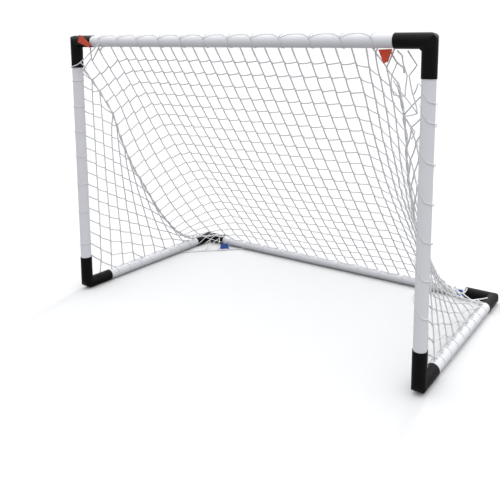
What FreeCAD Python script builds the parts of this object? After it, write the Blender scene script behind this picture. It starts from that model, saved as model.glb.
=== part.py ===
"""Free-standing mini goal: a knock-down frame of plastic tubes and push-fit elbows with a net laced to it.

Origin: middle of the footprint, on the floor. +X along the crossbar, +Y towards the back, +Z up.
The mouth faces -Y. All lengths are in millimetres.
"""
import FreeCAD
import Part
import math
import os

from FreeCAD import Matrix, Vector

# Overall size of the frame
OVERALL_WIDTH = 915.0
OVERALL_DEPTH = 490.0
OVERALL_HEIGHT = 630.0

# White frame tubes
TUBE_OD = 25.0
TUBE_WALL = 1.5

# Black moulded elbows
ELBOW_OD = 27.4
FIT_CLEARANCE = 0.05
SEAT = 20.0
HEEL_BEND = 14.0
TOP_ARM = 62.0
FRONT_ARM = 69.0
REAR_ARM = 64.0
GUSSET_LEG = 3.0
GUSSET_WIDTH = 8.0
FOOT_FLAT = 0.2
FLOOR_CLEARANCE = 0.02

# Net cord and the meshes. The middle of the back panel is taut, and its wings fall to the seams.
CORD = 2.0
SEAM_CORD = 3.0
BACK_COLUMNS = 12
BACK_ROWS = 11
WING_COLUMNS = 2
SHEET_DEPTH = 2.4
SIDE_ROW_DROP = 0.45
SIDE_LEAN = 30.0
SIDE_LOWEST_ROW = 160.0
SIDE_TOP_EASE = 6.0
MIN_GAP_AREA = 150.0

# The seams between back and side panels: how deep they sag, how far in they stand, where they end
SEAM_SAG = 120.0
SEAM_SKEW = 1.3
SEAM_FULLNESS = 0.8
SEAM_INSET = 64.0
SEAM_START = 0.022
SEAM_END = 0.925
SEAM_TURNS_OUT = 0.42
SEAM_STEPS = 7
SEAM_SIDES = 6
SEAM_EASE = 1.2

# Lacing: the border cord lies beside each tube, and the lacing cord winds round both
BORDER_OFFSET = 16.6
LACING_CLEARANCE = 0.12
LACING_SIDES = 3
LACING_SLANT = 0.4
LACING_END_GAP = 1.0

# Folded tape tags
TAPE = 0.5
TAPE_GAP = 0.8
TOP_LEFT_TAG = (40.0, 15.0, 8.0)
TOP_RIGHT_TAG = (21.0, 25.0, 7.0)
REAR_LEFT_TAG = (30.0, 14.0, 9.0)
REAR_RIGHT_TAG = (13.0, 12.0, 6.0)

# Values worked out from the driving dimensions
TUBE_R = TUBE_OD / 2
ELBOW_R = ELBOW_OD / 2
SOCKET_R = TUBE_R + FIT_CLEARANCE
POST_X = OVERALL_WIDTH / 2 - ELBOW_R
FRONT_Y = -OVERALL_DEPTH / 2 + ELBOW_R
REAR_Y = OVERALL_DEPTH / 2 - ELBOW_R
BASE_Z = ELBOW_R - FOOT_FLAT
BAR_Z = OVERALL_HEIGHT - ELBOW_R
LACING_R = TUBE_R + LACING_CLEARANCE + CORD / 2
LACING_NET_R = BORDER_OFFSET + CORD + SHEET_DEPTH / 2 + LACING_CLEARANCE
NET_HALF_WIDTH = POST_X - TOP_ARM
MESH = 2 * NET_HALF_WIDTH / BACK_COLUMNS
FOLD_X = NET_HALF_WIDTH - WING_COLUMNS * MESH

X = Vector(1, 0, 0)
Y = Vector(0, 1, 0)
Z = Vector(0, 0, 1)

# The straight slope between the axes of the crossbar and the rear bar
BAR_AXIS = Vector(0, FRONT_Y, BAR_Z)
REAR_AXIS = Vector(0, REAR_Y, BASE_Z)
SLOPE_LENGTH = (REAR_AXIS - BAR_AXIS).Length
SLOPE_DOWN = (REAR_AXIS - BAR_AXIS) / SLOPE_LENGTH
SLOPE_IN = SLOPE_DOWN.cross(X)


def unit(v):
    """The vector at length 1."""
    return v / v.Length


def closed_face(points):
    """A flat face inside a closed ring of points."""
    return Part.Face(Part.makePolygon(points + points[:1]))


def tube(start, end):
    """A straight hollow tube between two points."""
    axis = end - start
    blank = Part.makeCylinder(TUBE_R, axis.Length, start, axis)
    bore = Part.makeCylinder(TUBE_R - TUBE_WALL, axis.Length, start, axis)
    return blank.cut(bore)


def corner_solid(bend):
    """The moulded corner of an elbow: both arms run on to a mitre, and the heel is rounded over it."""
    reach = ELBOW_R + bend
    mitre = Part.makeCylinder(ELBOW_R, reach, X * -ELBOW_R, X).common(
        Part.makeCylinder(ELBOW_R, reach, Y * -ELBOW_R, Y)
    )
    low = Vector(-ELBOW_R, -ELBOW_R, -ELBOW_R)
    heel = Part.makeBox(reach, reach, ELBOW_OD, low).cut(
        Part.makeCylinder(reach, ELBOW_OD, Vector(bend, bend, -ELBOW_R), Z)
    )
    arms = [Part.makeCylinder(ELBOW_R, reach, Vector(), direction) for direction in (X, Y)]
    return mitre.fuse(arms).cut(heel)


def gusset():
    """The small web across the inner corner of an elbow."""
    reach = 2 * ELBOW_R + GUSSET_LEG
    inner = ELBOW_R / 2
    corners = [
        Vector(inner, inner, -GUSSET_WIDTH / 2),
        Vector(reach - inner, inner, -GUSSET_WIDTH / 2),
        Vector(inner, reach - inner, -GUSSET_WIDTH / 2),
    ]
    return closed_face(corners).extrude(Z * GUSSET_WIDTH)


def elbow(corner, first, second, arm, bend=0.0):
    """A two-socket elbow at a frame corner, its arms along two square directions."""
    outer = corner_solid(bend).fuse(gusset())
    sockets = []
    for direction in (X, Y):
        outer = outer.fuse(Part.makeCylinder(ELBOW_R, arm - bend, direction * bend, direction))
        sockets.append(Part.makeCylinder(SOCKET_R, arm - SEAT, direction * SEAT, direction))
    solid = outer.removeSplitter().cut(Part.makeCompound(sockets))
    third = first.cross(second)
    placed = Matrix(
        first.x, second.x, third.x, corner.x,
        first.y, second.y, third.y, corner.y,
        first.z, second.z, third.z, corner.z,
        0, 0, 0, 1,
    )
    solid.Placement = FreeCAD.Placement(placed)
    if corner.z < ELBOW_R:
        below = Part.makeBox(4 * arm, 4 * arm, ELBOW_R, corner - Vector(2 * arm, 2 * arm, corner.z + ELBOW_R))
        solid = solid.cut(below)
    return solid


def slope_place(x, down, depth):
    """A place by its x, its way down the slope from the crossbar's axis, and its depth to the inside."""
    return BAR_AXIS + X * x + SLOPE_DOWN * down + SLOPE_IN * depth


def seam_place(step, ease=0.0):
    """A place on the right-hand seam, by its step from head to foot.

    The seam sags deepest below its middle. It hangs from the crossbar at the elbow's end and turns out
    to the base tube at its foot. ease moves it that much closer to the goal's middle.
    """
    share = SEAM_START + (SEAM_END - SEAM_START) * step / SEAM_STEPS
    depth = SEAM_SAG * math.sin(math.pi * share ** SEAM_SKEW) ** SEAM_FULLNESS
    turned_out = max(0.0, share - SEAM_TURNS_OUT) / (SEAM_END - SEAM_TURNS_OUT)
    inset = SEAM_INSET * (1 - turned_out ** 4) + CORD * turned_out
    return slope_place(POST_X - inset - ease, SLOPE_LENGTH * share, depth)


def mirrored(points):
    """The same points on the goal's other side."""
    return [Vector(-p.x, p.y, p.z) for p in points]


def strip(first, second):
    """The triangles between two lines of points with the same number of steps."""
    triangles = []
    for a, b, c, d in zip(first, first[1:], second, second[1:]):
        triangles.append([a, b, c])
        triangles.append([b, d, c])
    return triangles


def draped(facets, holed, lift):
    """A net panel: one flat holed face carried through a folded sheet, which trims it to its depth."""
    depth = unit(lift) * SHEET_DEPTH
    prisms = []
    for facet in facets:
        start = [p - depth / 2 for p in facet]
        prisms.append(closed_face(start).extrude(depth))
    sheet = prisms[0].fuse(prisms[1:]).removeSplitter()
    return holed.extrude(lift).common(sheet)


def holed_face(outline, strand_line, cells):
    """A flat net: the outline with a hole for each mesh, cut short at the strand along the outline."""
    inside = closed_face(strand_line)
    holes = []
    for cell in cells:
        for face in closed_face(cell).common(inside).Faces:
            if face.Area > MIN_GAP_AREA:
                holes.append(face)
    print("gaps", len(holes))
    return closed_face(outline).cut(Part.makeCompound(holes)).Faces[0]


def shrunk(outline, margin):
    """A flat outline drawn in by a margin."""
    wire = Part.makePolygon(outline + outline[:1])
    return [v.Point for v in wire.makeOffset2D(-margin, 2).OrderedVertexes]


def net_back():
    """The back panel: a taut flat middle, and a wing at each side that falls to the seam."""
    top = BORDER_OFFSET - CORD / 2
    bottom = SLOPE_LENGTH - BORDER_OFFSET + CORD / 2
    fold = [
        slope_place(FOLD_X, top + (bottom - top) * step / SEAM_STEPS, 0) for step in range(SEAM_STEPS + 1)
    ]
    seam = [seam_place(step, SEAM_CORD / 2 + SEAM_EASE) for step in range(SEAM_STEPS + 1)]
    seam[0] = slope_place(seam[0].x, top, 0)
    corner = slope_place(POST_X - REAR_ARM, bottom, 0)
    facets = [[fold[0], fold[-1]] + mirrored([fold[-1], fold[0]])]
    wing = strip(fold, seam) + [[fold[-1], corner, seam[-1]]]
    facets += wing + [mirrored(facet) for facet in wing]

    def flat(point):
        return point - SLOPE_IN * (point - BAR_AXIS).dot(SLOPE_IN)

    edge = [flat(p) for p in seam] + [corner]
    outline = edge + mirrored(edge)[::-1]
    pitch = (bottom - top - CORD) / BACK_ROWS
    cells = []
    for row in range(BACK_ROWS):
        start = top + CORD / 2 + pitch * row + CORD / 2
        end = start + pitch - CORD
        for column in range(-1, BACK_COLUMNS + 1):
            left = -NET_HALF_WIDTH + MESH * column + CORD / 2
            right = left + MESH - CORD
            cells.append([slope_place(x, down, 0)
                          for x, down in ((left, start), (right, start), (right, end), (left, end))])
    holed = holed_face(outline, shrunk(outline, CORD), cells)
    reach = 2 * SEAM_SAG
    holed.translate(SLOPE_IN * -reach)
    return draped(facets, holed, SLOPE_IN * (2 * reach))


def net_side(side):
    """A side panel, from the post and the base tube in to the seam, as a folded sheet."""
    front = FRONT_Y + BORDER_OFFSET - CORD / 2
    low = BASE_Z + BORDER_OFFSET - CORD / 2
    high = BAR_Z - TOP_ARM - SIDE_TOP_EASE
    post = [
        Vector(POST_X, front, high + (SIDE_LOWEST_ROW - high) * step / SEAM_STEPS)
        for step in range(SEAM_STEPS + 1)
    ]
    seam = [seam_place(step) for step in range(SEAM_STEPS + 1)]
    lean = math.radians(SIDE_LEAN)
    through = X * math.cos(lean) + Y * math.sin(lean)
    gap = SEAM_CORD / 2 + SHEET_DEPTH / 2 + SEAM_EASE
    eased = []
    for near, far, before, after in zip(post, seam, seam[:1] + seam, seam[1:] + seam[-1:]):
        row = unit(near - far)
        eased.append(far + row * (gap / row.cross(unit(after - before)).Length))
    heel = Vector(POST_X, front, low)
    tail = Vector(POST_X, eased[-1].y, low)
    facets = strip(post, eased) + [[post[-1], heel, tail], [post[-1], tail, eased[-1]]]

    def flat(point):
        return point - through * (point - heel).dot(through)

    outline = [flat(p) for p in eased] + [flat(tail), flat(heel)] + [flat(post[0])]
    along = Z.cross(through)
    cells = []
    for column in range(int(OVERALL_DEPTH / MESH)):
        near = MESH * column + CORD
        far = near + MESH - CORD
        for row in range(-1, int(OVERALL_HEIGHT / MESH) + 4):
            start = MESH * row + CORD
            end = start + MESH - CORD
            cells.append([heel + along * a + Z * (h - SIDE_ROW_DROP * a)
                          for a, h in ((near, start), (far, start), (far, end), (near, end))])
    holed = holed_face(outline, shrunk(outline, CORD), cells)
    reach = through * (2 * SEAM_INSET)
    holed.translate(reach * -2)
    panel = draped(facets, holed, reach * 4)
    if side < 0:
        panel = panel.mirror(Vector(), X)
    return panel


def biarc(start, leave, end, arrive):
    """Two arcs that join two points along two unit directions and meet smoothly between them."""
    gap = end - start
    total = leave + arrive
    spread = 2 * (1 - leave.dot(arrive))
    along = gap.dot(total)
    reach = (math.sqrt(along * along + spread * gap.dot(gap)) - along) / spread
    middle = (start + leave * reach + end - arrive * reach) / 2
    return [arc_from(start, leave, middle), arc_from(end, arrive * -1, middle, True)]


def arc_from(start, leave, end, backwards=False):
    """The arc that leaves a point in a direction and ends at another point."""
    chord = end - start
    along = unit(chord)
    bulge = leave - along * leave.dot(along)
    angle = math.atan2(bulge.Length, leave.dot(along))
    crown = start + chord / 2 + unit(bulge) * (chord.Length / 2 * math.tan(angle / 2))
    if backwards:
        return Part.Arc(end, crown, start).toShape()
    return Part.Arc(start, crown, end).toShape()


def swept(edges, section):
    """A cord solid: the section carried along a smooth chain of arcs and straight ends."""
    shell = Part.BRepOffsetAPI.MakePipeShell(Part.Wire(edges))
    shell.add(section)
    shell.build()
    shell.makeSolid()
    return shell.shape()


def faceted_section(centre, direction, across, sides):
    """A regular polygon section of a cord, square to its direction."""
    helper = X if abs(direction.dot(X)) < 0.9 else Y
    u = unit(direction.cross(helper))
    v = direction.cross(u)
    ring = []
    for step in range(sides):
        turn = 2 * math.pi * step / sides
        ring.append(centre + (u * math.cos(turn) + v * math.sin(turn)) * (across / 2))
    return Part.makePolygon(ring + ring[:1])


def winding(name, origin, axis, net_side_dir, first, turns, hand):
    """One unbroken lacing cord round a tube and the net's border cord beside it.

    Half turns are biarcs. The cord stands a little further out where it crosses the net.
    """
    across = axis.cross(net_side_dir) * hand
    points = []
    leaves = []
    for half in range(-1, 2 * turns + 2):
        sign = 1 if half % 2 == 0 else -1
        radius = LACING_NET_R if sign > 0 else LACING_R
        points.append(origin + axis * (first + MESH * half / 2) + net_side_dir * (sign * radius))
        leaves.append(unit(across * (sign * math.pi * LACING_R) + axis * (MESH * LACING_SLANT)))
    edges = []
    for step in range(len(points) - 1):
        edges += biarc(points[step], leaves[step], points[step + 1], leaves[step + 1])
    cord = swept(edges, faceted_section(points[0], leaves[0], CORD, LACING_SIDES))
    print(name, "least gap of the winding to itself", round(least_gap(edges, MESH), 2))
    print_fullness(name, cord, edges, CORD, LACING_SIDES)
    return cord


def straight_lacing(origin, axis, start, end):
    """A lacing cord that lies straight along its tube, between the tube and the net's border."""
    section = faceted_section(origin + axis * start, axis, CORD, LACING_SIDES)
    return Part.Face(section).extrude(axis * (end - start))


def print_fullness(name, cord, edges, across, sides):
    """Prints how far a swept cord's volume agrees with its section times its length."""
    length = sum(edge.Length for edge in edges)
    section = sides / 2 * math.sin(2 * math.pi / sides) * across ** 2 / 4
    print(name, "volume against section times length", round(cord.Volume / section / length, 4))


def least_gap(edges, pitch):
    """The least clear distance between one turn of a winding and the next, measured on points."""
    spots = []
    travelled = 0.0
    for edge in edges:
        for point in edge.discretize(5)[:-1]:
            spots.append((travelled, point))
        travelled += edge.Length
    apart = pitch * 0.75
    best = min(
        (a - b).Length
        for i, (s, a) in enumerate(spots)
        for t, b in spots[i + 1:]
        if t - s > apart
    )
    return best - CORD


def seam_cord(side):
    """The doubled cord that joins the back panel to a side panel, taut from place to place."""
    points = [seam_place(step) for step in range(SEAM_STEPS + 1)]
    sections = []
    for before, point, after in zip(points[:1] + points, points, points[1:] + points[-1:]):
        sections.append(faceted_section(point, unit(after - before), SEAM_CORD, SEAM_SIDES))
    cord = Part.makeLoft(sections, True, True)
    if side < 0:
        cord = cord.mirror(Vector(), X)
    return cord


def folded_tag(size, fold, hang, face_normal):
    """A tape tag folded over a cord: two leaves that hang from a round fold and narrow to their ends.

    size is (leaf length, width at the fold, width at the ends).
    """
    length, wide, narrow = size
    gap = TAPE_GAP / 2
    bend_in = gap
    bend_out = gap + TAPE
    across = hang.cross(face_normal)

    def at(down, out):
        return fold + hang * down + face_normal * out - across * (max(wide, narrow) / 2)

    profile = [
        at(length, bend_out), at(0, bend_out), at(-bend_out, bend_in), at(-bend_out, -bend_in),
        at(0, -bend_out), at(length, -bend_out), at(length, -bend_in), at(0, -bend_in), at(0, bend_in),
        at(length, bend_in),
    ]
    band = closed_face(profile).extrude(across * max(wide, narrow))
    start = fold - hang * (2 * bend_out) - face_normal * (4 * bend_out)
    finish = fold + hang * (length + bend_out) - face_normal * (4 * bend_out)
    outline = [start - across * (wide / 2), start + across * (wide / 2),
               finish + across * (narrow / 2), finish - across * (narrow / 2)]
    return band.common(closed_face(outline).extrude(face_normal * (8 * bend_out)))


def corner_at(side, y, z):
    """A corner of the frame on the axes of its tubes; side is -1 at the left and 1 at the right."""
    return Vector(side * POST_X, y, z)


def frame_parts():
    """The tubes and the elbows."""
    parts = {}
    for name, side in (("left", -1), ("right", 1)):
        top = corner_at(side, FRONT_Y, BAR_Z)
        front = corner_at(side, FRONT_Y, BASE_Z)
        rear = corner_at(side, REAR_Y, BASE_Z)
        inward = X * -side
        parts[name + "_post"] = tube(front + Z * SEAT, top - Z * SEAT)
        parts[name + "_base_tube"] = tube(front + Y * SEAT, rear - Y * SEAT)
        parts["top_" + name + "_elbow"] = elbow(top, inward, Z * -1, TOP_ARM)
        parts["front_" + name + "_elbow"] = elbow(front, Y, Z, FRONT_ARM, HEEL_BEND)
        parts["rear_" + name + "_elbow"] = elbow(rear, inward, Y * -1, REAR_ARM)
    for name, y, z in (("crossbar", FRONT_Y, BAR_Z), ("rear_bar", REAR_Y, BASE_Z)):
        parts[name] = tube(corner_at(-1, y, z) + X * SEAT, corner_at(1, y, z) - X * SEAT)
    return parts


def lacing_parts():
    """The lacing cords: wound from mesh to mesh on crossbar and posts, straight on the ground tubes."""
    parts = {}
    room = LACING_END_GAP + CORD + MESH / 2
    turns = BACK_COLUMNS - 3
    first = -MESH * turns / 2
    parts["crossbar_lacing"] = winding(
        "crossbar_lacing", BAR_AXIS, X, SLOPE_DOWN, first, turns, 1
    )
    rear = REAR_AXIS - SLOPE_DOWN * LACING_R
    reach = POST_X - REAR_ARM - LACING_END_GAP
    parts["rear_bar_lacing"] = straight_lacing(rear, X, -reach, reach)
    lowest = BASE_Z + FRONT_ARM
    highest = BAR_Z - TOP_ARM
    turns = int((highest - lowest - 2 * room) / MESH)
    first = highest - room - turns * MESH
    for word, side in (("left", -1), ("right", 1)):
        name = word + "_post_lacing"
        axis = Vector(side * POST_X, FRONT_Y, 0)
        parts[name] = winding(name, axis, Z, Y, first, turns, side)
        base = Vector(side * POST_X, 0, BASE_Z + LACING_R)
        parts[word + "_base_lacing"] = straight_lacing(
            base, Y, FRONT_Y + FRONT_ARM + LACING_END_GAP, REAR_Y - REAR_ARM - LACING_END_GAP
        )
    return parts


def tag_parts():
    """The four tape tags that mark the net's corners."""
    lay = TAPE_GAP / 2 + TAPE + LACING_CLEARANCE
    slant = math.radians(25)
    top_left = corner_at(-1, FRONT_Y - ELBOW_R - lay, BAR_Z)
    down_left = unit(X * -math.cos(slant) + Z * math.sin(slant))
    bar_drop = Vector(POST_X - TOP_ARM - 16, FRONT_Y, BAR_Z - LACING_R - CORD)
    rear_front = REAR_Y - TUBE_R - CORD - lay
    return {
        "top_left_tag": folded_tag(
            (TOP_LEFT_TAG[0], TOP_LEFT_TAG[2], TOP_LEFT_TAG[1]), top_left + X * 57 - Z * 10, down_left, Y * -1
        ),
        "top_right_tag": folded_tag(TOP_RIGHT_TAG, bar_drop, Z * -1, Y),
        "rear_left_tag": folded_tag(
            REAR_LEFT_TAG, Vector(-POST_X + 46, rear_front - 4, lay + 2), X, Z
        ),
        "rear_right_tag": folded_tag(
            REAR_RIGHT_TAG, Vector(POST_X - REAR_ARM - 12, rear_front, BASE_Z + 7), Z * -1, Y
        ),
    }


def goal():
    """Every piece of the goal by its node name."""
    parts = frame_parts()
    parts["net_back"] = net_back()
    for word, side in (("left", -1), ("right", 1)):
        parts["net_" + word + "_side"] = net_side(side)
        parts[word + "_seam_cord"] = seam_cord(side)
    parts.update(lacing_parts())
    parts.update(tag_parts())
    return parts


def main():
    """Writes one STEP file for each piece."""
    os.makedirs("parts", exist_ok=True)
    for name, shape in goal().items():
        shape.exportStep("parts/" + name + ".step")


main()
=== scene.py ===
"""Looks of the free-standing mini goal: white tubes, black elbows and a slack net laced to them.

Lengths are in metres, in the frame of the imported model: +X along the crossbar, +Y from the mouth to the
rear bar, +Z up.
"""
import logging
import math
import random
from dataclasses import dataclass
from enum import Enum
from typing import Iterable, Sequence

import bpy
import numpy as np
from mathutils import Matrix, Vector


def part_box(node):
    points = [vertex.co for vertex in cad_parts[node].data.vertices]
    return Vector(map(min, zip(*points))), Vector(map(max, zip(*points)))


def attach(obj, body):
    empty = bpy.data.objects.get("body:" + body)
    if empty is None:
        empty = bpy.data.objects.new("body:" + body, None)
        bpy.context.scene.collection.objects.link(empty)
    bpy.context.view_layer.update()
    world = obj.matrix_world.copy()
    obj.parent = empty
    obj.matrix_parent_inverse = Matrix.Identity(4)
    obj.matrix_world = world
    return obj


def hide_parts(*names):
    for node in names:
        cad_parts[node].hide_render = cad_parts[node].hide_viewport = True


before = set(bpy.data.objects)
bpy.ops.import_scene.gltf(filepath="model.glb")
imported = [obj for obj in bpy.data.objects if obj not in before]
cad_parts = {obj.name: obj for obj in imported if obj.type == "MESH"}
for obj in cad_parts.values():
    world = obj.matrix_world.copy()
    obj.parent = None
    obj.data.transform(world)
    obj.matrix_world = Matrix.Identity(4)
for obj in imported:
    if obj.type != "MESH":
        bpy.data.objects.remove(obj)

LOG = logging.getLogger("goal")
BODY = "root"
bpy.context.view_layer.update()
FLOAT = "NodeSocketFloat"
SPLINE_STEPS = 12

Point = np.ndarray
Place = tuple[float, float, float]
Colour = tuple[float, ...]
Strand = tuple[Sequence[Point], float]


class Side(Enum):
    """The two sides of the goal, seen from the mouth; the value is the sign of X."""

    LEFT = -1
    RIGHT = 1

    @property
    def word(self) -> str:
        """The side's name in piece and node names."""
        return self.name.lower()


class Slot(Enum):
    """The material slots of the record."""

    TUBE = "tube_white"
    ELBOW = "elbow_black"
    CORD = "net_cord"
    ORANGE = "tag_orange"
    BLUE = "tag_blue"


def point(*values: float) -> Point:
    """A point or direction as an array."""
    return np.array(values, dtype=float)


def unit(v: Point) -> Point:
    """The direction at length 1."""
    return v / np.linalg.norm(v)


def metres(millimetres: Sequence) -> np.ndarray:
    """Lengths, a place or places in metres that are written in millimetres."""
    return np.array(millimetres, dtype=float) / 1000


def turned(start: Point, quarter: Point, angle: float) -> Point:
    """The direction at an angle from a start, towards the direction that is a quarter turn on."""
    return start * math.cos(angle) + quarter * math.sin(angle)


def travelled(line: Point) -> Point:
    """How far along a line each of its points lies."""
    return np.concatenate([[0], np.cumsum(np.linalg.norm(np.diff(line, axis=0), axis=1))])


def threes(line: list) -> Iterable[tuple]:
    """Each item with the ones before and after it; an end stands in for the one it lacks."""
    return zip(line[:1] + line[:-1], line, line[1:] + line[-1:])


def ring_faces(first: int, rings: int, sides: int) -> list[tuple[int, ...]]:
    """The faces between rings of points that are numbered on from the first."""
    faces = []
    for low in range(first, first + (rings - 1) * sides, sides):
        for turn in range(sides):
            after = (turn + 1) % sides
            faces.append((low + turn, low + after, low + sides + after, low + sides + turn))
    return faces


def new_object(name: str, content: bpy.types.ID) -> bpy.types.Object:
    """Puts a mesh, a light or a camera into the scene as an object."""
    made = bpy.data.objects.new(name, content)
    bpy.context.scene.collection.objects.link(made)
    return made


def mesh_object(
    name: str, corners: Sequence[Point], faces: Sequence[tuple], wraps: Sequence[tuple] = ()
) -> bpy.types.Object:
    """Makes a mesh object from points and faces.

    Args:
        name: the object's and the mesh's name.
        corners: the points.
        faces: each face's point numbers.
        wraps: each point's place in a UV map named cord, left out for no map.
    """
    mesh = bpy.data.meshes.new(name)
    mesh.from_pydata([tuple(c) for c in corners], [], faces)
    if wraps:
        layer = mesh.uv_layers.new(name="cord")
        for loop in mesh.loops:
            layer.data[loop.index].uv = wraps[loop.vertex_index]
    return new_object(name, mesh)


@dataclass(frozen=True)
class GoalSizes:
    """The frame's axes, radii and elbow arms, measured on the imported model."""

    post_x: float
    front_y: float
    rear_y: float
    base_z: float
    bar_z: float
    tube_r: float
    elbow_r: float
    top_arm: float
    front_arm: float
    rear_arm: float

    @classmethod
    def measured(cls) -> "GoalSizes":
        """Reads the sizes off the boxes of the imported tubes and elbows."""
        bar_low, bar_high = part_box("crossbar")
        top_low, top_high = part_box("top_right_elbow")
        post_x = cls._middle("right_post", 0)
        base_z = cls._middle("right_base_tube", 2)
        return cls(
            post_x=post_x,
            front_y=cls._middle("right_post", 1),
            rear_y=cls._middle("rear_bar", 1),
            base_z=base_z,
            bar_z=cls._middle("crossbar", 2),
            tube_r=(bar_high[2] - bar_low[2]) / 2,
            elbow_r=top_high[0] - post_x,
            top_arm=post_x - top_low[0],
            front_arm=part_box("front_right_elbow")[1][2] - base_z,
            rear_arm=post_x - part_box("rear_right_elbow")[0][0],
        )

    @staticmethod
    def _middle(node: str, axis: int) -> float:
        """The middle of a node's box on an axis."""
        low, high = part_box(node)
        return (low[axis] + high[axis]) / 2


@dataclass(frozen=True)
class Rail:
    """One straight tube of the frame as the net's cords see it.

    Angle 0 points along zero and 90 degrees along ninety, both square to the axis.
    """

    origin: Point
    axis: Point
    zero: Point
    ninety: Point
    tube_r: float
    elbow_r: float
    clear: tuple[float, float]

    def radius(self, along: float) -> float:
        """The outer radius at a place along the axis: the tube's, or an elbow's past its ends."""
        low, high = self.clear
        return self.tube_r if low <= along <= high else self.elbow_r

    def at(self, along: float, degrees: float, lift: float) -> Point:
        """A point beside the rail.

        Args:
            along: distance along the axis from the rail's origin.
            degrees: angle round the axis.
            lift: distance off the surface.
        """
        out = turned(self.zero, self.ninety, math.radians(degrees))
        return self.origin + self.axis * along + out * (self.radius(along) + lift)


class Rails:
    """The seven rails the net is tied to, by name."""

    def __init__(self, size: GoalSizes) -> None:
        """Sets up every rail from the frame's sizes."""
        self.size = size
        x, y, z = point(1, 0, 0), point(0, 1, 0), point(0, 0, 1)
        across = (-size.post_x + size.top_arm, size.post_x - size.top_arm)
        behind = (-size.post_x + size.rear_arm, size.post_x - size.rear_arm)
        upright = (size.base_z + size.front_arm, size.bar_z - size.top_arm)
        low = (size.front_y + size.front_arm, size.rear_y - size.rear_arm)
        radii = (size.tube_r, size.elbow_r)
        self.crossbar = Rail(point(0, size.front_y, size.bar_z), x, y, z, *radii, across)
        self.rear_bar = Rail(point(0, size.rear_y, size.base_z), x, y, z, *radii, behind)
        self.post = {}
        self.base = {}
        for side in Side:
            out = x * side.value
            self.post[side] = Rail(out * size.post_x + y * size.front_y, z, out, y, *radii, upright)
            self.base[side] = Rail(out * size.post_x + z * size.base_z, y, out, z, *radii, low)


@dataclass(frozen=True)
class NetPattern:
    """The net's counts, its cord sizes and how its panels hang.

    Lengths are in metres and angles in degrees round a rail. right_spread is the back panel's reach to
    the right, as a share of the crossbar's bare half. A row's or column's pull is its tension when a side
    panel settles, and left_crowding draws the left panel's columns together at the top of the seam.
    """

    left_columns: int = 14
    right_columns: int = 13
    rows: int = 22
    side_columns: int = 12
    side_rows: int = 17
    cord: float = 0.0030
    bar_cord: float = 0.0012
    lacing_cord: float = 0.0015
    knot_length: float = 0.0046
    top_gap: float = 0.7
    lift: float = 0.0008
    bar_angle: float = 24.0
    rear_angle: float = 112.0
    post_angle: float = 100.0
    base_angle: float = 95.0
    taut_sag: float = 0.014
    column_drift: float = 0.024
    right_spread: float = 1.0833
    side_column_step: float = 0.0385
    side_row_pull: float = 1.0
    side_column_pull: float = 4.0
    left_crowding: float = 2.0
    first_tie: float = 0.5
    shortest_cell: float = 0.3


@dataclass(frozen=True)
class Fold:
    """Where the back panel's rows bend down to a seam, and how softly, low down and at the bar.

    A place is a share of the way from the middle to the seam. What holds at the bar is gone at the share
    of the slope where it settles.
    """

    place: float
    place_at_bar: float
    power: float
    power_at_bar: float = 1.0
    settles: float = 0.45

    def fall(self, across: float, down: float) -> float:
        """How far a knot has come down to the seam, from 0 to 1.

        Args:
            across: share of the way from the middle to the seam.
            down: share of the way from the crossbar to the rear bar.
        """
        near_bar = max(0.0, 1 - down / self.settles)
        place = self.place + (self.place_at_bar - self.place) * near_bar
        power = self.power + (self.power_at_bar - self.power) * near_bar
        return (max(0.0, across - place) / (1 - place)) ** power


FOLDS = {
    Side.LEFT: Fold(place=0.64, place_at_bar=0.786, power=1.6),
    Side.RIGHT: Fold(place=0.5, place_at_bar=0.77, power=1.9),
}

# Places on a seam as (in from the post's axis, y, z) in millimetres; heads differ, the rest is common
SEAM_HEAD = {
    Side.LEFT: ((9, -221, 550), (30, -205, 512), (49, -190, 470)),
    Side.RIGHT: ((63, -213, 545), (59, -190, 482)),
}
SEAM_BODY = (
    (59, -178, 436), (62, -161, 379), (63, -130, 309), (65, -103, 263), (60, -39, 169), (56, -12, 138),
    (46, 39, 89), (26, 101, 50), (5, 159, 28),
)


def smooth_line(places: Sequence[Point], count: int) -> list[Point]:
    """Cuts a smooth line through places into a count of even steps."""
    ends = [2 * places[0] - places[1], *places, 2 * places[-1] - places[-2]]
    fine = []
    for a, b, c, d in zip(ends, ends[1:], ends[2:], ends[3:]):
        for share in np.linspace(0, 1, SPLINE_STEPS, endpoint=False):
            pull = 2 * b + (c - a) * share
            bend = (2 * a - 5 * b + 4 * c - d) * share ** 2 + (3 * b - 3 * c + d - a) * share ** 3
            fine.append((pull + bend) / 2)
    line = np.array(fine + [places[-1]])
    far = travelled(line)
    even = np.linspace(0, far[-1], count + 1)
    return list(np.stack([np.interp(even, far, line[:, axis]) for axis in range(3)], axis=1))


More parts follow.
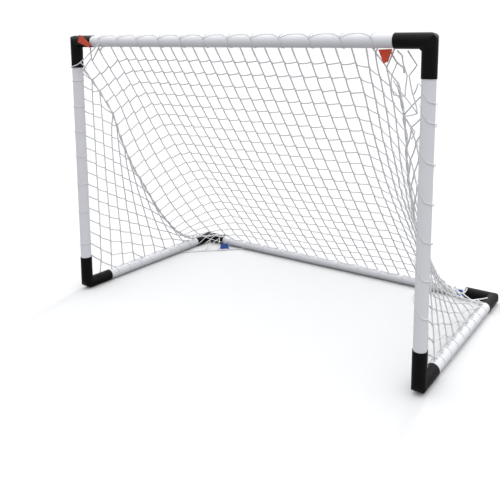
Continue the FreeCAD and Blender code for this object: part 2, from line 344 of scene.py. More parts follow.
class StrandNet:
    """Knots joined by strands in tension; it settles where every pull balances."""

    def __init__(self) -> None:
        """Starts with no knots."""
        self.index: dict[tuple, int] = {}
        self.held: dict[int, Point] = {}
        self.strands: list[tuple[int, int, float]] = []
        self.places = np.zeros((0, 3))

    def hold(self, key: tuple, place: Point) -> None:
        """Adds a knot tied to the frame at a fixed place."""
        self.held[self._number(key)] = place

    def chain(self, keys: Sequence[tuple], pull: float) -> None:
        """Joins knots one after the other by strands of one pull."""
        numbers = [self._number(key) for key in keys]
        self.strands += [(a, b, pull) for a, b in zip(numbers, numbers[1:])]

    def settle(self) -> None:
        """Solves the balance of the pulls for every knot that isn't held."""
        count = len(self.index)
        stiffness = np.zeros((count, count))
        for a, b, pull in self.strands:
            stiffness[a, a] += pull
            stiffness[b, b] += pull
            stiffness[a, b] -= pull
            stiffness[b, a] -= pull
        held = sorted(self.held)
        free = [n for n in range(count) if n not in self.held]
        self.places = np.zeros((count, 3))
        self.places[held] = [self.held[n] for n in held]
        load = -stiffness[np.ix_(free, held)] @ self.places[held]
        self.places[free] = np.linalg.solve(stiffness[np.ix_(free, free)], load)

    def place(self, key: tuple) -> Point:
        """Where a knot settled."""
        return self.places[self.index[key]]

    def _number(self, key: tuple) -> int:
        """The knot's number; a new knot gets the next one."""
        return self.index.setdefault(key, len(self.index))


class BackPanel:
    """The back panel: taut in the middle, folding down at both sides to the seams."""

    def __init__(self, rails: Rails, pattern: NetPattern) -> None:
        """Places every knot of the panel."""
        self.pattern = pattern
        self.rails = rails
        size = rails.size
        self.seams = {}
        for side in Side:
            places = [
                point(side.value * (size.post_x - inward), y, z)
                for inward, y, z in metres(SEAM_HEAD[side] + SEAM_BODY)
            ]
            self.seams[side] = smooth_line(places, pattern.rows)
        self.knots = [
            [self._place(column, row) for row in range(pattern.rows + 1)]
            for column in range(pattern.left_columns + pattern.right_columns + 1)
        ]

    def across(self, column: int) -> float:
        """Where a column stands, from -1 at the left seam to 1 at the right one."""
        pattern = self.pattern
        from_middle = column - pattern.left_columns
        return from_middle / (pattern.left_columns if from_middle < 0 else pattern.right_columns)

    def taut(self, across: float, down: float) -> Point:
        """The panel as it would hang without its seams.

        Args:
            across: from -1 at the left seam to 1 at the right one.
            down: from 0 at the crossbar to 1 at the rear bar.
        """
        pattern, size = self.pattern, self.rails.size
        reach = size.post_x if across < 0 else (size.post_x - size.top_arm) * pattern.right_spread
        top = self.rails.crossbar.at(reach * across, pattern.bar_angle, pattern.lift)
        drift = pattern.column_drift * (1 - abs(across))
        bottom = self.rails.rear_bar.at(reach * across + drift, pattern.rear_angle, pattern.lift)
        inward = unit(np.cross(bottom - top, point(1, 0, 0)))
        sag = pattern.taut_sag * 4 * down * (1 - down)
        return top + (bottom - top) * down + inward * sag

    def _place(self, column: int, row: int) -> Point:
        """Where the knot of a column and a row lies."""
        pattern = self.pattern
        across = self.across(column)
        down = (row + pattern.top_gap) / (pattern.rows + pattern.top_gap) if row else 0.0
        flat = self.taut(across, down)
        if row == pattern.rows and abs(across) < 1:
            return flat
        side = Side.LEFT if across < 0 else Side.RIGHT
        fall = FOLDS[side].fall(abs(across), down)
        return flat + (self.seams[side][row] - self.taut(side.value, down)) * fall

    def columns(self) -> list[list[Point]]:
        """Every strand from crossbar to rear bar, with a tie up to the bar where the border hangs free."""
        lines = []
        for number, column in enumerate(self.knots[1:-1], 1):
            tie = self.taut(self.across(number), 0.0)
            lines.append(column if np.allclose(tie, column[0]) else [tie] + column)
        return lines

    def rows(self) -> list[list[Point]]:
        """Every strand from seam to seam, with the border that hangs free at both ends of the bar."""
        border = [column[0] for column in self.knots]
        low, high = -FOLDS[Side.LEFT].place_at_bar, FOLDS[Side.RIGHT].place_at_bar
        tied = [number for number in range(len(border)) if low <= self.across(number) <= high]
        free = [border[:tied[0] + 1], border[tied[-1]:]]
        return free + [[column[row] for column in self.knots] for row in range(1, self.pattern.rows)]


class SidePanel:
    """A side panel, settled between its post, its ground tube and the seam."""

    def __init__(self, side: Side, rails: Rails, pattern: NetPattern, seam: Sequence[Point]) -> None:
        """Ties every border knot, joins the strands and lets the panel settle."""
        self.side = side
        self.rails = rails
        self.pattern = pattern
        self.seam = seam
        self.web = StrandNet()
        self.column_keys: list[list[tuple]] = []
        self.row_keys: list[list[tuple]] = []
        self._tie()
        self.web.settle()

    def columns(self) -> list[list[Point]]:
        """Every strand from the seam down to the ground tube."""
        return [[self.web.place(key) for key in keys] for keys in self.column_keys]

    def rows(self) -> list[list[Point]]:
        """Every strand from the post back to the seam or the ground tube."""
        return [[self.web.place(key) for key in keys] for keys in self.row_keys]

    def _seam_key(self, column: int) -> tuple:
        """Ties and names the seam knot that a row and a column share."""
        pattern = self.pattern
        power = pattern.left_crowding if self.side is Side.LEFT else 1.0
        extra = (pattern.rows - pattern.side_columns) * (column / pattern.side_columns) ** power
        number = round(column + extra)
        key = ("seam", number)
        self.web.hold(key, self.seam[number])
        return key

    def _base_place(self, column: float) -> Point:
        """Where a side column is tied to the ground tube."""
        pattern = self.pattern
        along = self.rails.size.front_y + pattern.side_column_step * column
        return self.rails.base[self.side].at(along, pattern.base_angle, pattern.lift)

    def _tie(self) -> None:
        """Joins rows and columns; a row meets the seam at the column of its own number."""
        pattern, size, web = self.pattern, self.rails.size, self.web
        top = size.bar_z - size.top_arm
        low = size.base_z + 2 * size.tube_r
        step = (top - low) / pattern.side_rows
        extra = pattern.side_rows - pattern.side_columns
        deepest = {}
        for row in range(1, pattern.side_rows + 1):
            height = top - step * (row - pattern.first_tie)
            web.hold((0, row), self.rails.post[self.side].at(height, pattern.post_angle, pattern.lift))
        for column in range(1, pattern.side_columns):
            end = pattern.side_rows - extra * column / pattern.side_columns - pattern.shortest_cell
            rows = [row for row in range(column + 1, pattern.side_rows + 1) if row < end]
            deepest[column] = rows[-1] if rows else column
            foot = ("foot", column)
            web.hold(foot, self._base_place(column))
            keys = [self._seam_key(column)] + [(column, row) for row in rows] + [foot]
            web.chain(keys, pattern.side_column_pull)
            self.column_keys.append(keys)
        for row in range(1, pattern.side_rows):
            reach = [c for c in range(1, pattern.side_columns) if c < row and row <= deepest[c]]
            keys = [(0, row)] + [(column, row) for column in reach]
            if row <= pattern.side_columns:
                keys.append(self._seam_key(row))
            else:
                foot = ("row foot", row)
                web.hold(foot, self._base_place((pattern.side_rows - row) * pattern.side_columns / extra))
                keys.append(foot)
            web.chain(keys, pattern.side_row_pull)
            self.row_keys.append(keys)


class CordMesh:
    """Collects round cords into one mesh, with a UV map along and round each cord."""

    SIDES = 6
    SHORTEST_STEP = 0.05
    FIRST_SIDE = (0.31, 0.17, 0.93)

    def __init__(self) -> None:
        """Starts empty."""
        self.corners: list[Point] = []
        self.faces: list[tuple[int, ...]] = []
        self.wraps: list[tuple[float, float]] = []

    def add(self, path: Sequence[Point], thick: float) -> None:
        """Adds a cord of a diameter whose middle line passes through points."""
        line = np.array(path)
        lengths = np.linalg.norm(np.diff(line, axis=0), axis=1)
        line = line[np.concatenate([[True], lengths > thick * self.SHORTEST_STEP])]
        steps = np.diff(line, axis=0)
        tangents = np.vstack([steps[:1], steps[:-1] + steps[1:], steps[-1:]])
        tangents /= np.linalg.norm(tangents, axis=1)[:, None]
        normal = unit(np.cross(tangents[0], point(*self.FIRST_SIDE)))
        first = len(self.corners)
        for spot, along, far in zip(line, tangents, travelled(line)):
            normal = unit(normal - along * np.dot(normal, along))
            across = np.cross(along, normal)
            for turn in range(self.SIDES):
                out = turned(normal, across, 2 * math.pi * turn / self.SIDES)
                self.corners.append(spot + out * thick / 2)
                self.wraps.append((far / thick, turn / self.SIDES))
        last = first + (len(line) - 1) * self.SIDES
        self.faces += ring_faces(first, len(line), self.SIDES)
        self.faces.append(tuple(reversed(range(first, first + self.SIDES))))
        self.faces.append(tuple(range(last, last + self.SIDES)))

    def piece(self, name: str) -> bpy.types.Object:
        """Makes the object that holds every cord collected so far."""
        made = mesh_object(name, self.corners, self.faces, self.wraps)
        made.data.shade_smooth()
        return made


class StrandArtist:
    """Turns chains of knots into slack strands that are worked into each other where they meet.

    The bow and the sag are shares of the length between two knots. Each step of a joint is a share of its
    length along the other strand, then diameters forward and to the side.
    """

    PIECES = 4
    BOW = 0.03
    SAG = -0.02
    BOW_SIDE = (0.2, 0.9, 0.4)
    UNEVEN = (0.8, 1.2)
    JOINT = ((-1, -0.5, 0.3), (-0.5, 0, 0.55), (0, 0, 0.6), (0.5, 0, 0.55), (1, 0.5, 0.3))

    def __init__(self, pattern: NetPattern, seed: int) -> None:
        """Keeps the pattern and its own seeded chance."""
        self.pattern = pattern
        self.chance = random.Random(seed)

    def slack(self, start: Point, end: Point) -> list[Point]:
        """Points between two knots, bowed a little to one side and down."""
        gap = end - start
        length = np.linalg.norm(gap)
        sideways = unit(np.cross(gap, point(*self.BOW_SIDE)))
        bow = sideways * self.chance.uniform(-self.BOW, self.BOW) * length + point(0, 0, self.SAG * length)
        shares = [step / self.PIECES for step in range(1, self.PIECES)]
        return [start + gap * s + bow * (4 * s * (1 - s)) for s in shares]

    def through(self, line: Sequence[Point]) -> list[Point]:
        """A strand that runs through its knots."""
        path = [line[0]]
        for start, end in zip(line, line[1:]):
            path += self.slack(start, end) + [end]
        return path

    def knotted(self, line: list[Point], rods: Sequence[Point | None]) -> list[Point]:
        """A strand that is worked into the other strand for a short way at each knot.

        Args:
            line: the knots it passes.
            rods: the other strand's direction at each knot, None where it only passes.
        """
        thick = self.pattern.cord
        step_down = self.pattern.knot_length / 2
        path: list[Point] = []
        for (before, knot, after), rod in zip(threes(line), rods):
            if rod is None:
                turn = [knot]
            else:
                along = unit(rod)
                forward = unit(after - before)
                forward = unit(forward - along * np.dot(forward, along))
                face = np.cross(forward, along)
                reach = step_down * self.chance.uniform(*self.UNEVEN)
                turn = [
                    knot + along * reach * down + forward * thick * ahead + face * thick * aside
                    for down, ahead, aside in self.JOINT
                ]
            if path:
                path += self.slack(path[-1], turn[0])
            path += turn
        return path


@dataclass(frozen=True)
class Studio:
    """The floor, the lights and the camera at the photograph's angle."""

    image: float = 500.0
    centre_u: float = 305.0
    centre_v: float = 134.0
    focal: float = 614.695
    eye: Place = (0.81276, -1.1936, 0.60269)
    yaw: float = -32.3243
    pitch: float = 7.9261
    roll: float = -0.3182
    sensor: float = 36.0
    far: float = 50.0
    floor_half: float = 40.0
    floor_seen: Colour = (0.775, 0.775, 0.775, 1)
    floor_roughness: float = 0.95
    floor_bounce: Colour = (0.30, 0.30, 0.31, 1)
    horizon_left: Colour = (0.25, 0.26, 0.29, 1)
    horizon_right: Colour = (0.56, 0.57, 0.60, 1)
    bright_way: Place = (0.845, 0.535, 0.0)
    zenith: Colour = (1.8, 1.81, 1.82, 1)
    sun_from: Place = (-0.15, 0.75, 1.0)
    sun_width: float = 7.0
    sun_strength: float = 0.4

    def camera(self) -> None:
        """Makes the camera and sets it as the scene's."""
        yaw, pitch, roll = (math.radians(a) for a in (self.yaw, self.pitch, self.roll))
        ahead = Vector((math.sin(yaw) * math.cos(pitch), math.cos(yaw) * math.cos(pitch), -math.sin(pitch)))
        level = Vector((math.cos(yaw), -math.sin(yaw), 0))
        down = ahead.cross(level)
        right = turned(level, down, roll)
        below = turned(down, -level, roll)
        lens = bpy.data.cameras.new("camera")
        lens.sensor_width = self.sensor
        lens.lens = self.sensor * self.focal / self.image
        lens.shift_x = (self.image / 2 - self.centre_u) / self.image
        lens.shift_y = (self.centre_v - self.image / 2) / self.image
        lens.clip_end = self.far
        eye = new_object("camera", lens)
        turn = Matrix((right, -below, -ahead)).transposed().to_4x4()
        eye.matrix_world = Matrix.Translation(self.eye) @ turn
        bpy.context.scene.camera = eye

    def build(self) -> None:
        """Lays the floor, lights the sky and places the camera."""
        self._floor()
        self._sky()
        bpy.context.scene.view_settings.view_transform = "Standard"
        lamp = bpy.data.lights.new("sun", "SUN")
        lamp.energy = self.sun_strength
        lamp.angle = math.radians(self.sun_width)
        new_object("sun", lamp).rotation_euler = Vector(self.sun_from).to_track_quat("Z", "Y").to_euler()
        self.camera()

    def _floor(self) -> None:
        """White paper to the eye, that throws less light back up than it shows."""
        half = self.floor_half
        corners = [(-half, -half, 0), (half, -half, 0), (half, half, 0), (-half, half, 0)]
        floor = mesh_object("floor", corners, [(0, 1, 2, 3)])
        paint, bench, paper = new_material("floor_paper")
        seen = bench.add("ShaderNodeLightPath").outputs["Is Camera Ray"]
        colour = bench.blend(seen, self.floor_bounce, self.floor_seen)
        bench.wire(paper, Base_Color=colour, Roughness=self.floor_roughness, Specular_IOR_Level=0.0)
        floor.data.materials.append(paint)

    def _sky(self) -> None:
        """A sky bright overhead and dim at the horizon, seen as plain white."""
        world = bpy.data.worlds.new("studio")
        world.use_nodes = True
        bench = NodeBench(world.node_tree)
        way = bench.add("ShaderNodeTexCoord").outputs["Generated"]
        height = bench.math("MAXIMUM", bench.add("ShaderNodeSeparateXYZ", Vector=way).outputs["Z"], 0.0)
        sideways = bench.add("ShaderNodeVectorMath")
        sideways.operation = "DOT_PRODUCT"
        bench.feed(sideways.inputs[0], way)
        bench.feed(sideways.inputs[1], self.bright_way)
        share = bench.math("MULTIPLY", bench.math("ADD", sideways.outputs["Value"], 1.0), 0.5)
        light = bench.blend(height, bench.blend(share, self.horizon_left, self.horizon_right), self.zenith)
        seen = bench.add("ShaderNodeLightPath").outputs["Is Camera Ray"]
        colour = bench.blend(seen, light, (1, 1, 1, 1))
        bench.wire(world.node_tree.nodes["Background"], Color=colour)
        bpy.context.scene.world = world


class NodeBench:
    """Short helpers to wire shader nodes in one tree."""

    def __init__(self, tree: bpy.types.NodeTree) -> None:
        """Keeps the tree it wires."""
        self.tree = tree

    def add(self, kind: str, **inputs: object) -> bpy.types.Node:
        """Adds a node and wires its inputs."""
        return self.wire(self.tree.nodes.new(kind), **inputs)

    def wire(self, node: bpy.types.Node, **inputs: object) -> bpy.types.Node:
        """Sets or links a node's inputs by name (spaces written as underscores)."""
        for name, value in inputs.items():
            self.feed(node.inputs[name.replace("_", " ")], value)
        return node

    def feed(self, socket: bpy.types.NodeSocket, value: object) -> None:
        """Links a socket to another socket, or sets its value."""
        if isinstance(value, bpy.types.NodeSocket):
            self.tree.links.new(value, socket)
        else:
            socket.default_value = value

    def math(self, operation: str, a: object, b: object = 0.0) -> bpy.types.NodeSocket:
        """One math step."""
        node = self.add("ShaderNodeMath")
        node.operation = operation
        self.feed(node.inputs[0], a)
        self.feed(node.inputs[1], b)
        return node.outputs[0]

    def blend(self, share: object, a: object, b: object) -> bpy.types.NodeSocket:
        """Mixes two colours."""
        node = self.add("ShaderNodeMix")
        node.data_type = "RGBA"
        return self.wire(node, Factor=share, A=a, B=b).outputs["Result"]

    def group(self, shared: bpy.types.NodeTree, **inputs: float) -> bpy.types.bpy_prop_collection:
        """Places a shared group with its own values and gives its outputs."""
        node = self.add("ShaderNodeGroup")
        node.node_tree = shared
        return self.wire(node, **inputs).outputs

    def bump(self, strength: float, depth: float, height: object) -> bpy.types.NodeSocket:
        """The normal of a bump of a strength and depth from a height mask."""
        node = self.add("ShaderNodeBump", Strength=strength, Distance=depth, Height=height)
        return node.outputs["Normal"]


def new_material(name: str) -> tuple[bpy.types.Material, NodeBench, bpy.types.Node]:
    """Makes a material and gives it with a bench to wire it and its shader."""
    made = bpy.data.materials.new(name)
    made.use_nodes = True
    return made, NodeBench(made.node_tree), made.node_tree.nodes["Principled BSDF"]


def new_group(name: str, inputs: dict[str, float], outputs: Sequence[str]) -> tuple:
    """Makes an empty shader group whose sockets all hold numbers.

    Args:
        name: the group's name.
        inputs: its inputs' names and defaults.
        outputs: its outputs' names.

    Returns:
        A bench to wire it, the sockets that enter it and the node that leaves it.
    """
    bench = NodeBench(bpy.data.node_groups.new(name, "ShaderNodeTree"))
    sockets = bench.tree.interface
    for label, start in inputs.items():
        sockets.new_socket(name=label, in_out="INPUT", socket_type=FLOAT).default_value = start
    for label in outputs:
        sockets.new_socket(name=label, in_out="OUTPUT", socket_type=FLOAT)
    return bench, bench.add("NodeGroupInput").outputs, bench.add("NodeGroupOutput")


WEAR_DETAIL = 5.0
WEAR_ROUGHNESS = 0.6
SCUFF_DETAIL = 3.0
SCUFF_CAP = 0.9
SCUFF_LEVEL = 0.62
RIDGE_POWER = 0.5


def surface_wear_group() -> bpy.types.NodeTree:
    """Fine mottling of a moulded or extruded surface, with faint scuffs."""
    inputs = {"Scale": 60.0, "Scuff Scale": 9.0, "Scuff Amount": 0.3}
    bench, entry, leave = new_group("surface_wear", inputs, ("Mottle", "Scuff", "Height"))
    place = bench.add("ShaderNodeTexCoord").outputs["Object"]
    noise = "ShaderNodeTexNoise"
    fine = bench.add(
        noise, Vector=place, Scale=entry["Scale"], Detail=WEAR_DETAIL, Roughness=WEAR_ROUGHNESS
    )
    broad = bench.add(noise, Vector=place, Scale=entry["Scuff Scale"], Detail=SCUFF_DETAIL)
    sharp = bench.math("SMOOTH_MIN", broad.outputs["Fac"], SCUFF_CAP)
    scuff = bench.math("MULTIPLY", bench.math("GREATER_THAN", sharp, SCUFF_LEVEL), entry["Scuff Amount"])
    mottle = fine.outputs["Fac"]
    bench.wire(leave, Mottle=mottle, Scuff=scuff, Height=bench.math("ADD", mottle, scuff))
    return bench.tree


def strand_twist_group() -> bpy.types.NodeTree:
    """The slanting strands of a twisted or woven yarn, from the cord's own UV map."""
    inputs = {"Strands": 3.0, "Lay": 0.5}
    bench, entry, leave = new_group("strand_twist", inputs, ("Strand", "Height"))
    place = bench.add("ShaderNodeTexCoord").outputs["UV"]
    parts = bench.add("ShaderNodeSeparateXYZ", Vector=place)
    around = bench.math("MULTIPLY", parts.outputs["Y"], entry["Strands"])
    along = bench.math("MULTIPLY", parts.outputs["X"], entry["Lay"])
    phase = bench.math("MULTIPLY", bench.math("ADD", around, along), math.pi)
    ridge = bench.math("ABSOLUTE", bench.math("SINE", phase))
    # Strand is the ridge mask that YarnFinish uses to blend in its painted groove shade and to set the
    # gloss; Height drives the bump.
    bench.wire(leave, Strand=ridge, Height=bench.math("POWER", ridge, RIDGE_POWER))
    return bench.tree


@dataclass(frozen=True)
class PlasticFinish:
    """A solid plastic with fine mottling, faint scuffs and its own gloss."""

    MOTTLE_SHARE = 0.35
    BUMP_DEPTH = 0.0004

    name: str
    base: Colour
    worn: Colour
    roughness: tuple[float, float]
    mottle_scale: float
    bump: float
    specular: float = 0.5

    def material(self, wear: bpy.types.NodeTree) -> bpy.types.Material:
        """Builds the material from the shared surface wear group."""
        made, bench, shader = new_material(self.name)
        masks = bench.group(wear, Scale=self.mottle_scale)
        mottle = masks["Mottle"]
        share = bench.math("ADD", bench.math("MULTIPLY", mottle, self.MOTTLE_SHARE), masks["Scuff"])
        low, high = self.roughness
        bench.wire(
            shader,
            Base_Color=bench.blend(share, (*self.base, 1), (*self.worn, 1)),
            Roughness=bench.math("ADD", bench.math("MULTIPLY", mottle, high - low), low),
            Normal=bench.bump(self.bump, self.BUMP_DEPTH, masks["Height"]),
            Specular_IOR_Level=self.specular,
        )
        return made


@dataclass(frozen=True)
class YarnFinish:
    """Twisted or woven yarn: ridges in the yarn's own colour, grooves darkened by painted shade, and a soft
    sheen.
    """

    FURROW_ROUGHNESS = 0.85
    RIDGE_POLISH = 0.2
    BUMP_DEPTH = 0.0003
    SHEEN = 0.25

    name: str
    ridge: Colour
    furrow: Colour
    strands: float
    lay: float
    bump: float = 0.6

    def material(self, twist: bpy.types.NodeTree) -> bpy.types.Material:
        """Builds the material from the shared strand twist group."""
        made, bench, shader = new_material(self.name)
        masks = bench.group(twist, Strands=self.strands, Lay=self.lay)
        polish = bench.math("MULTIPLY", masks["Strand"], self.RIDGE_POLISH)
        # The grooves between strands get a darker colour, blended in by the ridge mask: this is painted
        # shade.
        bench.wire(
            shader,
            Base_Color=bench.blend(masks["Strand"], (*self.furrow, 1), (*self.ridge, 1)),
            Roughness=bench.math("SUBTRACT", self.FURROW_ROUGHNESS, polish),
            Normal=bench.bump(self.bump, self.BUMP_DEPTH, masks["Height"]),
            Sheen_Weight=self.SHEEN,
        )
        return made


PLASTICS = {
    Slot.TUBE: PlasticFinish(
        "white_tube", base=(0.80, 0.80, 0.825), worn=(0.74, 0.745, 0.77), roughness=(0.34, 0.48),
        mottle_scale=45.0, bump=0.05,
    ),
    Slot.ELBOW: PlasticFinish(
        "black_elbow", base=(0.003, 0.003, 0.0028), worn=(0.008, 0.008, 0.0075), roughness=(0.28, 0.42),
        mottle_scale=160.0, bump=0.12, specular=0.13,
    ),
}
# Each yarn's second colour is its first colour darkened by painted shade, for the grooves between strands.
YARNS = {
    Slot.CORD: YarnFinish("white_cord", (0.88, 0.88, 0.88), (0.64, 0.64, 0.65), strands=3.0, lay=0.5),
    Slot.ORANGE: YarnFinish(
        "orange_tape", (0.66, 0.055, 0.008), (0.5, 0.035, 0.006), strands=1.0, lay=1.0, bump=0.3
    ),
    Slot.BLUE: YarnFinish(
        "blue_tape", (0.045, 0.12, 0.42), (0.03, 0.085, 0.32), strands=1.0, lay=1.0, bump=0.3
    ),
}


class Finishes:
    """Every material of the goal by its slot."""

    TUBES = ("left_post", "right_post", "crossbar", "left_base_tube", "right_base_tube", "rear_bar")
    CORNERS = ("top", "front", "rear")

    def __init__(self) -> None:
        """Builds the shared groups and the materials."""
        wear = surface_wear_group()
        twist = strand_twist_group()
        self.of = {slot: plastic.material(wear) for slot, plastic in PLASTICS.items()}
        self.of |= {slot: yarn.material(twist) for slot, yarn in YARNS.items()}

    def dress(self, piece: bpy.types.Object, slot: Slot) -> None:
        """Gives a new piece its slot and material and lets it ride on the goal."""
        piece.data.materials.append(self.of[slot])
        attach(piece, BODY)

    def dress_frame(self) -> None:
        """Repaints every tube and elbow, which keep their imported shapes."""
        elbows = [f"{corner}_{side.word}_elbow" for corner in self.CORNERS for side in Side]
        for names, slot in ((self.TUBES, Slot.TUBE), (elbows, Slot.ELBOW)):
            for name in names:
                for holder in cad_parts[name].material_slots:
                    holder.material = self.of[slot]
                LOG.info("finished %s", name)


@dataclass(frozen=True)
class Lay:
    """How a lacing cord lies on its tube: angles in degrees round it, lengths in metres.

    It starts each turn at border, goes round one way (1 or -1), leans along the tube on its turn and rises
    to the crest between turns. A loose cord stands off the tube where the angle is 0.
    """

    border: float
    way: int
    lean: float
    crest: float
    crest_lift: float
    loose: float = 0.0
    turn_steps: int = 20
    run_steps: int = 8


# The cords that tie the net's corners to the frame: each one's diameter and places, in millimetres
LOOSE_CORDS = (
    (3.6, ((368, -219, 600), (380, -217, 580), (393, -219, 572), (394, -218, 562))),
    (2.2, ((381, -219, 580), (375, -217, 567), (372, -220, 556), (371, -219, 541), (375, -216, 524))),
    (2.6, ((380, -218, 600), (389, -217, 592), (394, -220, 574), (400, -219, 558),
           (397, -217, 539), (398, -220, 524))),
    (2.6, ((400, -219, 600), (416, -216, 576), (404, -220, 558), (411, -219, 527),
           (418, -217, 504), (421, -220, 495))),
    (2.6, ((375, -219, 549), (395, -217, 523), (421, -220, 495))),
    (2.6, ((377, -219, 524), (395, -217, 523))),
    (2.6, ((397, -218, 489), (418, -217, 494))),
    (2.6, ((397, -218, 489), (416, -216, 463), (411, -219, 450))),
    (2.6, ((420, -219, 545), (412, -216, 527))),
    (2.4, ((-343, -246, 612), (-347, -248, 607), (-355, -248, 603), (-377, -248, 589),
           (-414, -248, 566), (-439, -247, 558), (-458, -240, 555), (-460, -231, 553))),
    (2.2, ((-412, -248, 567), (-400, -247, 560), (-427, -219, 552))),
)

FLOOR_CORDS = (
    (2.2, ((-430, 98, 6), (-421, 109, 2), (-385, 144, 2), (-346, 177, 2), (-309, 214, 2), (-296, 219, 6))),
    (2.0, ((-387, 142, 2), (-396, 168, 6), (-404, 190, 20))),
    (2.0, ((-356, 169, 2), (-372, 192, 8), (-388, 215, 22))),
    (2.0, ((-330, 194, 2), (-345, 205, 6), (-352, 214, 9))),
    (1.8, ((-392, 126, 28), (-415, 183, 29), (-432, 231, 28))),
    (1.8, ((-377, 135, 28), (-397, 195, 29), (-410, 239, 28))),
    (1.8, ((-359, 147, 28), (-375, 198, 29), (-389, 247, 28))),
    (1.8, ((-431, 188, 28), (-383, 175, 29), (-344, 174, 28))),
)


@dataclass(frozen=True)
class TapeTag:
    """A tag of woven tape folded over a cord; lengths in millimetres.

    fold is the middle of its fold, hang the way its leaves point and face the way its front looks. It is
    wide at the fold and narrow at the ends, or the other way round.
    """

    LEAF_STEPS = 8
    BEND = (0.9, 0.7)
    BEND_ANGLES = (60, 30, 0, -30, -60)
    BACK_LENGTH = 0.94
    BACK_SPREAD = 0.4

    node: str
    slot: Slot
    fold: Place
    hang: Place
    face: Place
    length: float
    wide: float
    narrow: float
    spread: float = 1.6
    curl: float = 1.2
    thick: float = 0.5

    def build(self, finishes: Finishes) -> None:
        """Makes the tag and gives it its place in the goal."""
        hang, face = unit(point(*self.hang)), unit(point(*self.face))
        across = np.cross(hang, face)
        corners = []
        wraps = []
        for down, out, normal_down, normal_out, far in self._stations():
            share = max(0.0, down) / self.length
            half = (self.wide + (self.narrow - self.wide) * share) / 2
            for edge, side in ((-1, -1), (1, -1), (1, 1), (-1, 1)):
                middle = point(*self.fold) + hang * (down + normal_down * side * self.thick / 2)
                middle = middle + face * (out + normal_out * side * self.thick / 2)
                corners.append(metres(middle + across * (edge * half)))
                wraps.append((far, edge * half))
        count = len(corners)
        faces = [(3, 2, 1, 0), *ring_faces(0, count // 4, 4), tuple(range(count - 4, count))]
        piece = mesh_object(self.node + "_tape", corners, faces, wraps)
        finishes.dress(piece, self.slot)
        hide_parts(self.node)

    def _stations(self) -> list[tuple[float, float, float, float, float]]:
        """The tape's middle line: down one leaf, round the fold and down the other."""
        deep, half = self.BEND
        line = []
        for share in np.linspace(1, 0, self.LEAF_STEPS):
            line.append((self.length * share, self.spread * share + half + self.curl * share ** 3))
        for degrees in self.BEND_ANGLES:
            turn = math.radians(degrees)
            line.append((-deep * math.cos(turn), half * math.sin(turn)))
        for share in np.linspace(0, 1, self.LEAF_STEPS):
            back = -self.spread * share * self.BACK_SPREAD - half
            line.append((self.length * share * self.BACK_LENGTH, back))
        made = []
        far = 0.0
        for before, (down, out), after in threes(line):
            run = math.hypot(after[0] - before[0], after[1] - before[1])
            normal = ((after[1] - before[1]) / run, -(after[0] - before[0]) / run)
            far += math.hypot(down - before[0], out - before[1])
            made.append((down, out, *normal, far))
        return made


TAGS = (
    TapeTag(
        "top_left_tag", Slot.ORANGE, (-376, -247.5, 606), (-0.9, 0, 0.42), (0, -1, 0),
        length=40.0, wide=9.0, narrow=19.0, spread=0.4, curl=0.6,
    ),
    TapeTag(
        "top_right_tag", Slot.ORANGE, (365.5, -234, 601), (0.05, 0, -1), (-0.1, -1, 0),
        length=22.0, wide=26.0, narrow=6.0,
    ),
    TapeTag(
        "rear_left_tag", Slot.BLUE, (-347, 189, 18), (0, 0, -1), (0.65, -0.76, 0),
        length=15.0, wide=22.0, narrow=27.0, spread=0.5, curl=0.3,
    ),
    TapeTag(
        "rear_right_tag", Slot.BLUE, (371, 214, 24), (0, -0.1, -1), (0, -1, 0.1),
        length=14.0, wide=9.0, narrow=15.0, spread=0.6,
    ),
)


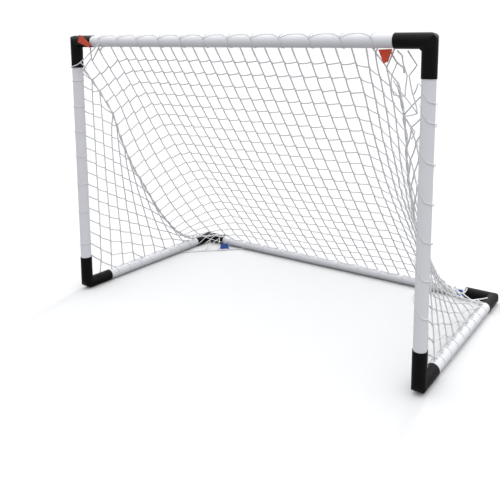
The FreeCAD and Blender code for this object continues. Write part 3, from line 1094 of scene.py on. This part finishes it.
class Netting:
    """The visible netting: panels, seams and the cords that lace it to the frame."""

    BACK_SEED = 7
    SIDE_SEED = 11
    SEAM_SEED = 23
    TIE_SEED = 31
    SEAM_TWIST = 0.8
    SEAM_SPACING = 0.55
    BAR_WRAPS = (-350, -288, -226, -160, -97, -33, 29, 88, 153, 219, 283, 343)
    LEFT_POST_WRAPS = (523, 461, 400, 339, 270, 200, 120)
    REAR_WRAPS = (-0.36, 0.37, 0.0633)
    BASE_WRAPS = (-0.135, 0.15, 0.0385)
    SPIRAL_PITCH = 0.0676
    SPIRALS = ((0.5468, 0.5), (0.513, 5.5))
    SPIRAL_START = 201
    SPIRAL_STEPS = 32
    SPIRAL_TURN = (0, 0.06, 0.24, 0.34, 0.5, 1)
    SPIRAL_FALL = (0, 0.03, 0.42, 0.46, 0.5, 1)
    SPIRAL_SIDE_LIFT = 0.0022
    SPIRAL_SIDE_POWER = 6
    FLOOR_CORD_STEPS = 4

    def __init__(self, rails: Rails, pattern: NetPattern, finishes: Finishes) -> None:
        """Places the panels and keeps the finishes."""
        self.rails = rails
        self.pattern = pattern
        self.finishes = finishes
        self.back = BackPanel(rails, pattern)
        self.sides = {side: SidePanel(side, rails, pattern, self.back.seams[side]) for side in Side}

    def build(self) -> None:
        """Makes every panel, seam and lacing."""
        self._panel("back_netting", "net_back", self.back, self.BACK_SEED)
        for side in Side:
            word = side.word
            seed = self.SIDE_SEED + side.value
            self._panel(word + "_netting", "net_" + word + "_side", self.sides[side], seed)
            self._seam(side)
            self._post_lacing(side)
            self._base_lacing(side)
        self._bar_lacing()
        self._rear_lacing()

    def _piece(self, name: str, node: str, strands: Sequence[Strand]) -> None:
        """Makes a piece of cords, each a path and a diameter, that stands for a CAD node."""
        cords = CordMesh()
        for path, thick in strands:
            cords.add(path, thick)
        piece = cords.piece(name)
        self.finishes.dress(piece, Slot.CORD)
        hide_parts(node)
        LOG.info("made %s with %d faces", name, len(piece.data.polygons))

    def _panel(self, name: str, node: str, panel: BackPanel | SidePanel, seed: int) -> None:
        """One panel: its columns run through, and its rows are worked into them at each knot."""
        artist = StrandArtist(self.pattern, seed)
        paths = []
        beside = {}
        for column in panel.columns():
            paths.append(artist.through(column))
            for before, spot, after in threes(column):
                beside[tuple(spot)] = after - before
        for row in panel.rows():
            rods = [None] + [beside.get(tuple(spot)) for spot in row[1:-1]] + [None]
            paths.append(artist.knotted(row, rods))
        self._piece(name, node, [(path, self.pattern.cord) for path in paths])

    def _seam(self, side: Side) -> None:
        """The doubled cord of a seam: two cords twisted loosely round each other."""
        line = StrandArtist(self.pattern, self.SEAM_SEED + side.value).through(self.back.seams[side])
        thick = self.pattern.cord
        strands = []
        for phase in (0.0, math.pi):
            path = []
            for number, (before, spot, after) in enumerate(threes(line)):
                along = unit(after - before)
                out = unit(np.cross(along, point(1, 0, 0)))
                aside = turned(out, np.cross(along, out), phase + number * self.SEAM_TWIST)
                path.append(spot + aside * thick * self.SEAM_SPACING)
            strands.append((path, thick))
        self._piece(side.word + "_seam", side.word + "_seam_cord", strands)

    def _wound(self, rail: Rail, wraps: Sequence[float], lay: Lay) -> list[Point]:
        """A cord that takes one turn round a rail at every wrap and runs beside it from wrap to wrap.

        A turn that would sink into the floor is raised onto it.

        Args:
            rail: the tube.
            wraps: where the turns lie along the tube, in order.
            lay: how the cord lies.
        """
        path = []
        lowest = self.pattern.cord / 2
        for number, place in enumerate(wraps):
            for step in range(lay.turn_steps + 1):
                share = step / lay.turn_steps
                degrees = lay.border + lay.way * 360 * share
                slack = max(0.0, math.cos(math.radians(degrees))) ** 2
                lift = self.pattern.lift + lay.loose * slack
                spot = rail.at(place + lay.lean * (share - 0.5), degrees, lift)
                spot[2] = max(spot[2], lowest)
                path.append(spot)
            if number + 1 == len(wraps):
                break
            start = place + lay.lean / 2
            run = wraps[number + 1] - lay.lean / 2 - start
            for step in range(1, lay.run_steps):
                share = step / lay.run_steps
                crest = 4 * share * (1 - share)
                degrees = lay.border + (lay.crest - lay.border) * crest
                lift = self.pattern.lift + lay.crest_lift * crest
                path.append(rail.at(start + run * share, degrees, lift))
        return path

    def _lacing(self, stem: str, strands: Sequence[Strand]) -> None:
        """Makes the wraps that stand for the CAD lacing of the same stem."""
        self._piece(stem + "_wraps", stem + "_lacing", strands)

    def _bar_lacing(self) -> None:
        """The lacing round the crossbar."""
        artist = StrandArtist(self.pattern, self.TIE_SEED)
        lay = Lay(border=163.0, way=1, lean=-0.004, crest=104.0, crest_lift=0.0)
        path = self._wound(self.rails.crossbar, metres(self.BAR_WRAPS), lay)
        strands = [(path, self.pattern.bar_cord)]
        for thick, places in LOOSE_CORDS:
            strands.append((artist.through(metres(places)), thick / 1000))
        self._lacing("crossbar", strands)

    def _rear_lacing(self) -> None:
        """The lacing round the rear bar, with the strands over its left elbow."""
        lay = Lay(border=112.0, way=-1, lean=0.014, crest=128.0, crest_lift=0.001)
        path = self._wound(self.rails.rear_bar, np.arange(*self.REAR_WRAPS), lay)
        strands = [(path, self.pattern.lacing_cord)]
        for thick, places in FLOOR_CORDS:
            path = smooth_line(metres(places), self.FLOOR_CORD_STEPS * len(places))
            strands.append((path, thick / 1000))
        self._lacing("rear_bar", strands)

    def _post_lacing(self, side: Side) -> None:
        """The lacing round a post: level turns on the left one, a stepped spiral on the right one."""
        rail = self.rails.post[side]
        if side is Side.LEFT:
            lay = Lay(border=-8.0, way=1, lean=-0.002, crest=4.0, crest_lift=0.0016, loose=0.003)
            paths = [self._wound(rail, metres(self.LEFT_POST_WRAPS), lay)]
        else:
            paths = [self._stepped(rail, top, turns) for top, turns in self.SPIRALS]
        self._lacing(side.word + "_post", [(path, self.pattern.lacing_cord) for path in paths])

    def _stepped(self, rail: Rail, top: float, turns: float) -> list[Point]:
        """A spiral that lies level at the tube's sides and falls across its front and back.

        Args:
            rail: the tube.
            top: the height at which it starts, on the tube's inner side.
            turns: how many turns it takes.
        """
        path = []
        steps = int(turns * self.SPIRAL_STEPS)
        for step in range(steps + 1):
            turn = turns * step / steps
            whole = math.floor(turn)
            fallen = whole + np.interp(turn - whole, self.SPIRAL_TURN, self.SPIRAL_FALL)
            at_side = abs(math.cos(2 * math.pi * turn)) ** self.SPIRAL_SIDE_POWER
            lift = self.pattern.lift + self.SPIRAL_SIDE_LIFT * at_side
            path.append(rail.at(top - self.SPIRAL_PITCH * fallen, self.SPIRAL_START + 360 * turn, lift))
        return path

    def _base_lacing(self, side: Side) -> None:
        """The lacing round a ground tube."""
        lay = Lay(border=95.0, way=1, lean=0.012, crest=84.0, crest_lift=0.001)
        path = self._wound(self.rails.base[side], np.arange(*self.BASE_WRAPS), lay)
        self._lacing(side.word + "_base", [(path, self.pattern.lacing_cord)])


def main() -> None:
    """Builds the goal's looks piece by piece."""
    logging.basicConfig(level=logging.INFO, format="%(name)s: %(message)s")
    rails = Rails(GoalSizes.measured())
    finishes = Finishes()
    Studio().build()
    finishes.dress_frame()
    Netting(rails, NetPattern(), finishes).build()
    for tag in TAGS:
        tag.build(finishes)


if __name__ == "__main__":
    main()
